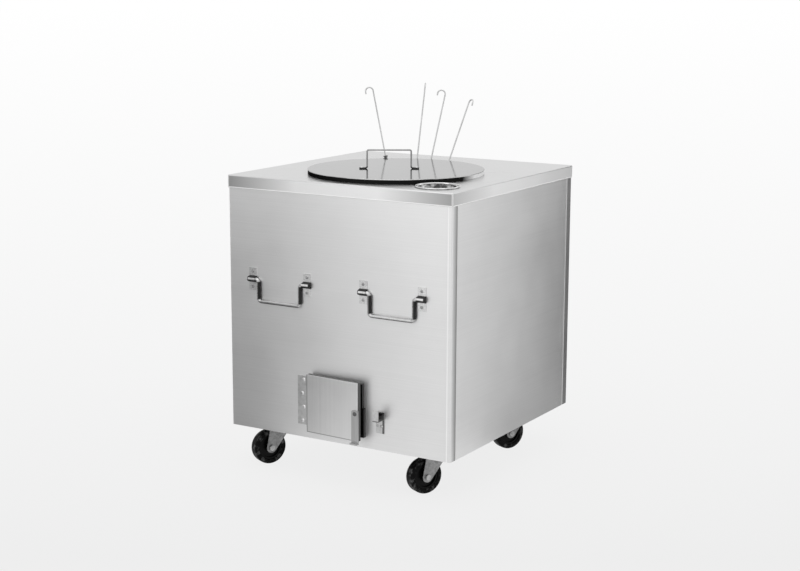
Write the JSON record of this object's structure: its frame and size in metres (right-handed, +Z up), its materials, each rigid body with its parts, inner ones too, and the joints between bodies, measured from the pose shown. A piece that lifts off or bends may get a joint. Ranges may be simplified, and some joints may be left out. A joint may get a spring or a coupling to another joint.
{
  "type": "square tandoor",
  "caption": "Square charcoal tandoor on swivel casters: stainless casing round a clay pot, loose lid, hooked skewers, bail handles and a hinged ash door with latch.",
  "frame": {"origin": "on the floor, under the middle of the square table", "axes": "+Z up; +Y towards the back, so the door and the handles face -Y; +X to the right seen from the front"},
  "size_m": [0.762, 0.809, 1.1331],
  "materials": {
    "casing_steel": "fine brushed stainless sheet",
    "table_steel": "satin stainless sheet",
    "lid_mirror_steel": "polished stainless sheet",
    "black_enamel": "matt black enamel",
    "bright_rod": "drawn bright rod",
    "bowl_steel": "spun polished stainless",
    "black_cup": "matt black",
    "handle_steel": "satin stainless",
    "door_steel": "satin stainless sheet",
    "door_dark_steel": "dark grey heat paint",
    "fibre_board": "matt fibre board",
    "hinge_steel": "satin stainless",
    "latch_steel": "satin stainless strip",
    "pivot_steel": "blackened steel",
    "black_rubber": "matt rubber",
    "fired_clay": "matt fired clay",
    "hearth_stone": "matt refractory concrete",
    "grate_iron": "rough casting",
    "loose_fill": "loose mineral fill",
    "frame_paint": "grey primer on steel",
    "zinc_steel": "bright zinc plate",
    "fork_steel": "zinc plated pressing",
    "wheel_core_black": "moulded black plastic",
    "tyre_black": "solid black rubber"
  },
  "bodies": {
    "cabinet": {"base_frame": "frame_paint", "base_plate": "frame_paint", "corner_posts": "frame_paint", "top_frame": "frame_paint", "front_panel": "casing_steel", "back_panel": "casing_steel", "left_panel": "casing_steel", "right_panel": "casing_steel", "table_top": "table_steel", "mouth_collar": "table_steel", "clay_pot": "fired_clay", "insulation": "loose_fill", "hearth_slab": "hearth_stone", "fire_grate": "grate_iron", "ash_duct": "black_enamel", "keeper": "latch_steel", "keeper_buffer": "black_rubber", "flush_screws": "hinge_steel", "hinge_fixed_leaf": "hinge_steel", "hinge_pin": "hinge_steel", "handle_saddles": "handle_steel", "saddle_screws": "handle_steel", "caster_plates": "zinc_steel", "kingpins": "zinc_steel", "caster_bolts": "zinc_steel"},
    "lid": {"lid_plate": "lid_mirror_steel", "lid_rim": "black_enamel", "lid_handle": "bright_rod", "lid_rivets": "bright_rod"},
    "bowl": {"water_bowl": "bowl_steel"},
    "skewer_1": {"skewer_1": "bright_rod", "skewer_cup": "black_cup"},
    "skewer_2": {"skewer_2": "bright_rod"},
    "skewer_3": {"skewer_3": "bright_rod"},
    "skewer_4": {"skewer_4": "bright_rod"},
    "left_handle": {"left_handle": "handle_steel"},
    "right_handle": {"right_handle": "handle_steel"},
    "door": {"door_face": "door_steel", "door_tray": "door_dark_steel", "door_insulation": "fibre_board", "hinge_door_leaf": "hinge_steel", "leaf_rivets": "hinge_steel", "latch_pivot": "pivot_steel"},
    "latch": {"latch_bar": "latch_steel"},
    "swivel_front_left": {"caster_fork_front_left": "fork_steel", "caster_axle_front_left": "zinc_steel"},
    "wheel_front_left": {"wheel_core_front_left": "wheel_core_black", "wheel_tyre_front_left": "tyre_black"},
    "swivel_front_right": {"caster_fork_front_right": "fork_steel", "caster_axle_front_right": "zinc_steel"},
    "wheel_front_right": {"wheel_core_front_right": "wheel_core_black", "wheel_tyre_front_right": "tyre_black"},
    "swivel_rear_left": {"caster_fork_rear_left": "fork_steel", "caster_axle_rear_left": "zinc_steel"},
    "wheel_rear_left": {"wheel_core_rear_left": "wheel_core_black", "wheel_tyre_rear_left": "tyre_black"},
    "swivel_rear_right": {"caster_fork_rear_right": "fork_steel", "caster_axle_rear_right": "zinc_steel"},
    "wheel_rear_right": {"wheel_core_rear_right": "wheel_core_black", "wheel_tyre_rear_right": "tyre_black"}
  },
  "joints": [
    {"name": "lid_lift", "type": "slide", "parent": "cabinet", "child": "lid", "axis": [0, 0, 1], "range_m": [0, 0.3]},
    {"name": "bowl_lift", "type": "slide", "parent": "cabinet", "child": "bowl", "axis": [0, 0, 1], "range_m": [0, 0.12]},
    {"name": "left_handle_swing", "type": "hinge", "parent": "cabinet", "child": "left_handle", "pos_m": [-0.197, -0.3853, 0.585], "axis": [-1, 0, 0], "range_deg": [0, 180]},
    {"name": "right_handle_swing", "type": "hinge", "parent": "cabinet", "child": "right_handle", "pos_m": [0.189, -0.3853, 0.585], "axis": [-1, 0, 0], "range_deg": [0, 180]},
    {"name": "door_hinge", "type": "hinge", "parent": "cabinet", "child": "door", "pos_m": [-0.093, -0.3838, 0.239], "axis": [0, 0, -1], "range_deg": [-3, 95]},
    {"name": "latch_swing", "type": "hinge", "parent": "door", "child": "latch", "pos_m": [0.08654, -0.41634, 0.2345], "axis": [-0.0523, -0.9986, 0], "range_deg": [0, 130]},
    {"name": "skewer_1_lift", "type": "slide", "parent": "cabinet", "child": "skewer_1", "axis": [-0.2182, -0.0043, 0.9759], "range_m": [0, 0.65]},
    {"name": "skewer_2_lift", "type": "slide", "parent": "cabinet", "child": "skewer_2", "axis": [-0.0068, 0.2196, 0.9756], "range_m": [0, 0.65]},
    {"name": "skewer_3_lift", "type": "slide", "parent": "cabinet", "child": "skewer_3", "axis": [0.0754, 0.2799, 0.9571], "range_m": [0, 0.65]},
    {"name": "skewer_4_lift", "type": "slide", "parent": "cabinet", "child": "skewer_4", "axis": [0.1839, 0.3155, 0.9309], "range_m": [0, 0.65]},
    {"name": "swivel_front_left", "type": "hinge", "parent": "cabinet", "child": "swivel_front_left", "pos_m": [-0.275, -0.275, 0.1157], "axis": [0, 0, 1], "continuous": true},
    {"name": "wheel_front_left_spin", "type": "hinge", "parent": "swivel_front_left", "child": "wheel_front_left", "pos_m": [-0.29472, -0.31208, 0.052], "axis": [0.8829, -0.4695, 0], "continuous": true},
    {"name": "swivel_front_right", "type": "hinge", "parent": "cabinet", "child": "swivel_front_right", "pos_m": [0.275, -0.275, 0.1157], "axis": [0, 0, 1], "continuous": true},
    {"name": "wheel_front_right_spin", "type": "hinge", "parent": "swivel_front_right", "child": "wheel_front_right", "pos_m": [0.25528, -0.31208, 0.052], "axis": [0.8829, -0.4695, 0], "continuous": true},
    {"name": "swivel_rear_left", "type": "hinge", "parent": "cabinet", "child": "swivel_rear_left", "pos_m": [-0.275, 0.249, 0.1157], "axis": [0, 0, 1], "continuous": true},
    {"name": "wheel_rear_left_spin", "type": "hinge", "parent": "swivel_rear_left", "child": "wheel_rear_left", "pos_m": [-0.29472, 0.21192, 0.052], "axis": [0.8829, -0.4695, 0], "continuous": true},
    {"name": "swivel_rear_right", "type": "hinge", "parent": "cabinet", "child": "swivel_rear_right", "pos_m": [0.275, 0.249, 0.1157], "axis": [0, 0, 1], "continuous": true},
    {"name": "wheel_rear_right_spin", "type": "hinge", "parent": "swivel_rear_right", "child": "wheel_rear_right", "pos_m": [0.25528, 0.21192, 0.052], "axis": [0.8829, -0.4695, 0], "continuous": true}
  ]
}
